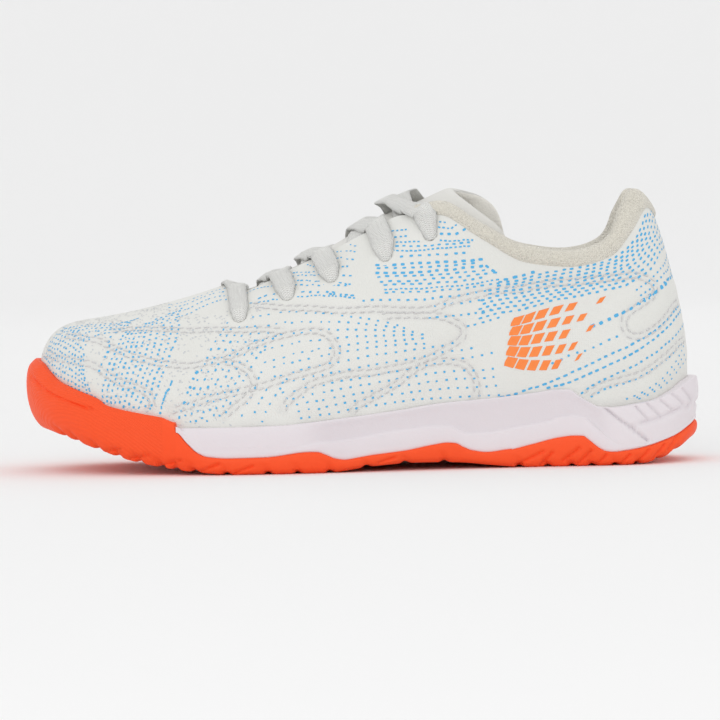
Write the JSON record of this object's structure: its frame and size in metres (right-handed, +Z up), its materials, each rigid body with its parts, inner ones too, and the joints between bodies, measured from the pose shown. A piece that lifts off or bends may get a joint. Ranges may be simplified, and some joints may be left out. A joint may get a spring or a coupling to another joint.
{
  "type": "indoor soccer shoe",
  "caption": "Low lace-up indoor court shoe, left foot, with a printed moulded upper, padded collar, foam midsole and a flat rubber outsole that wraps the toe.",
  "frame": {"origin": "on the floor, under the middle of the sole's length and width", "axes": "+X towards the heel, so the toe is at -X; +Y towards the inner side of the foot; +Z up"},
  "size_m": [0.2284, 0.0838, 0.0945],
  "materials": {
    "upper_shell": "white coated textile with a printed dot pattern and stitched lines",
    "midsole_foam": "matte moulded foam",
    "outsole_rubber": "satin orange rubber",
    "insole_cloth": "cloth-covered foam",
    "tongue_cover": "smooth white outside, cream knit inside",
    "collar_knit": "cream knit over soft padding",
    "lace_braid": "flat tubular braid"
  },
  "bodies": {
    "root": {"upper": "upper_shell", "midsole": "midsole_foam", "outsole": "outsole_rubber", "insole": "insole_cloth", "tongue": "tongue_cover", "collar_pad": "collar_knit", "lace_bar": "lace_braid", "lace_cross_1": "lace_braid", "lace_cross_2": "lace_braid", "lace_cross_3": "lace_braid", "lace_cross_4": "lace_braid"}
  },
  "joints": []
}
